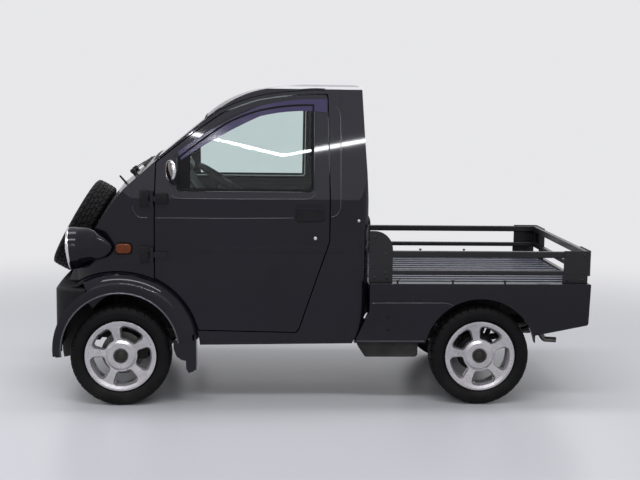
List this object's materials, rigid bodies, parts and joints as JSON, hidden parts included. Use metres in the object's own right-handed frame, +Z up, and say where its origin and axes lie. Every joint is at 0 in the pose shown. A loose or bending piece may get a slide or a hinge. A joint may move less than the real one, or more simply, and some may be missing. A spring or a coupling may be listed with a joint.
{
  "type": "kei truck",
  "caption": "Small cab-over truck with a spare wheel on its nose, round headlamps, two opening doors, steered front wheels and a low railed bed.",
  "frame": {"origin": "on the ground, midway between nose and tail, on the centre line", "axes": "+X to the truck's rear, +Y to its right, +Z up"},
  "size_m": [2.832, 1.436, 1.6379],
  "materials": {
    "paint": "satin, very dark blue charcoal",
    "black_trim": "satin black",
    "guard_black": "satin black powder coat",
    "deck_paint": "bluish grey, lightly scuffed",
    "glass": "pale green tint",
    "visor_tint": "dark violet, translucent",
    "chrome": "polished",
    "lens": "clear moulded glass",
    "amber": "amber lens",
    "red_lens": "red lens",
    "tyre": "black rubber",
    "alloy": "silver paint with a polished edge",
    "steel_wheel": "dark steel",
    "chassis": "black underbody paint",
    "steel": "worn steel",
    "interior": "dark grey moulded plastic",
    "seat_cloth": "dark grey woven cloth",
    "plate_white": "blank pressed plate"
  },
  "bodies": {
    "body": {"roof_panel": "paint", "nose_panel": "paint", "cab_floor": "chassis", "cab_rear_wall": "paint", "windscreen": "glass", "rear_window": "glass", "cab_side_left": "paint", "cab_side_right": "paint", "front_fenders": "paint", "front_bumper": "black_trim", "headlamp_pods": "paint", "headlamp_bezels": "chrome", "headlamp_lenses": "lens", "side_indicators": "amber", "spare_tyre": "tyre", "spare_rim": "steel_wheel", "front_suspension": "chassis", "chassis_frame": "chassis", "engine_block": "steel", "cross_members": "chassis", "bed_bearers": "chassis", "rear_axle": "chassis", "rear_springs": "chassis", "fuel_tank": "chassis", "exhaust": "steel", "bed_deck": "deck_paint", "bed_sides": "paint", "bed_tail": "paint", "side_guard_left": "guard_black", "side_guard_right": "guard_black", "rear_guard": "guard_black", "rope_hooks": "guard_black", "tail_lamps": "red_lens", "number_plates": "plate_white", "dashboard": "interior", "steering_wheel": "interior", "seat_cushions": "seat_cloth", "seat_backs": "seat_cloth", "wipers": "black_trim"},
    "door_left": {"door_left": "paint", "door_handle_left": "black_trim", "door_glass_left": "glass", "door_visor_left": "visor_tint", "mirror_left": "chrome"},
    "knuckle_left": {"knuckle_left": "chassis"},
    "door_right": {"door_right": "paint", "door_handle_right": "black_trim", "door_glass_right": "glass", "door_visor_right": "visor_tint", "mirror_right": "chrome"},
    "knuckle_right": {"knuckle_right": "chassis"},
    "wheel_front_left": {"tyre_front_left": "tyre", "rim_front_left": "alloy"},
    "wheel_front_right": {"tyre_front_right": "tyre", "rim_front_right": "alloy"},
    "wheel_rear_left": {"tyre_rear_left": "tyre", "rim_rear_left": "alloy"},
    "wheel_rear_right": {"tyre_rear_right": "tyre", "rim_rear_right": "alloy"}
  },
  "joints": [
    {"name": "door_left_hinge", "type": "hinge", "parent": "body", "child": "door_left", "pos_m": [-0.8305, -0.614, 0.9], "axis": [0, 0, -1], "range_deg": [0, 65]},
    {"name": "door_right_hinge", "type": "hinge", "parent": "body", "child": "door_right", "pos_m": [-0.8305, 0.614, 0.9], "axis": [0, 0, 1], "range_deg": [0, 65]},
    {"name": "steer_left", "type": "hinge", "parent": "body", "child": "knuckle_left", "pos_m": [-0.9905, -0.47, 0.178], "axis": [0, 0.1582, 0.9874], "range_deg": [-32, 32]},
    {"name": "steer_right", "type": "hinge", "parent": "body", "child": "knuckle_right", "pos_m": [-0.9905, 0.47, 0.178], "axis": [0, -0.1582, 0.9874], "range_deg": [-32, 32]},
    {"name": "spin_front_left", "type": "hinge", "parent": "knuckle_left", "child": "wheel_front_left", "pos_m": [-0.9905, -0.546, 0.256], "axis": [0, -1, 0], "continuous": true},
    {"name": "spin_front_right", "type": "hinge", "parent": "knuckle_right", "child": "wheel_front_right", "pos_m": [-0.9905, 0.546, 0.256], "axis": [0, -1, 0], "continuous": true},
    {"name": "spin_rear_left", "type": "hinge", "parent": "body", "child": "wheel_rear_left", "pos_m": [0.8495, -0.536, 0.256], "axis": [0, -1, 0], "continuous": true},
    {"name": "spin_rear_right", "type": "hinge", "parent": "body", "child": "wheel_rear_right", "pos_m": [0.8495, 0.536, 0.256], "axis": [0, -1, 0], "continuous": true}
  ],
  "couplings": [
    {"joint": "steer_right", "follows": "steer_left", "ratio": 1}
  ]
}
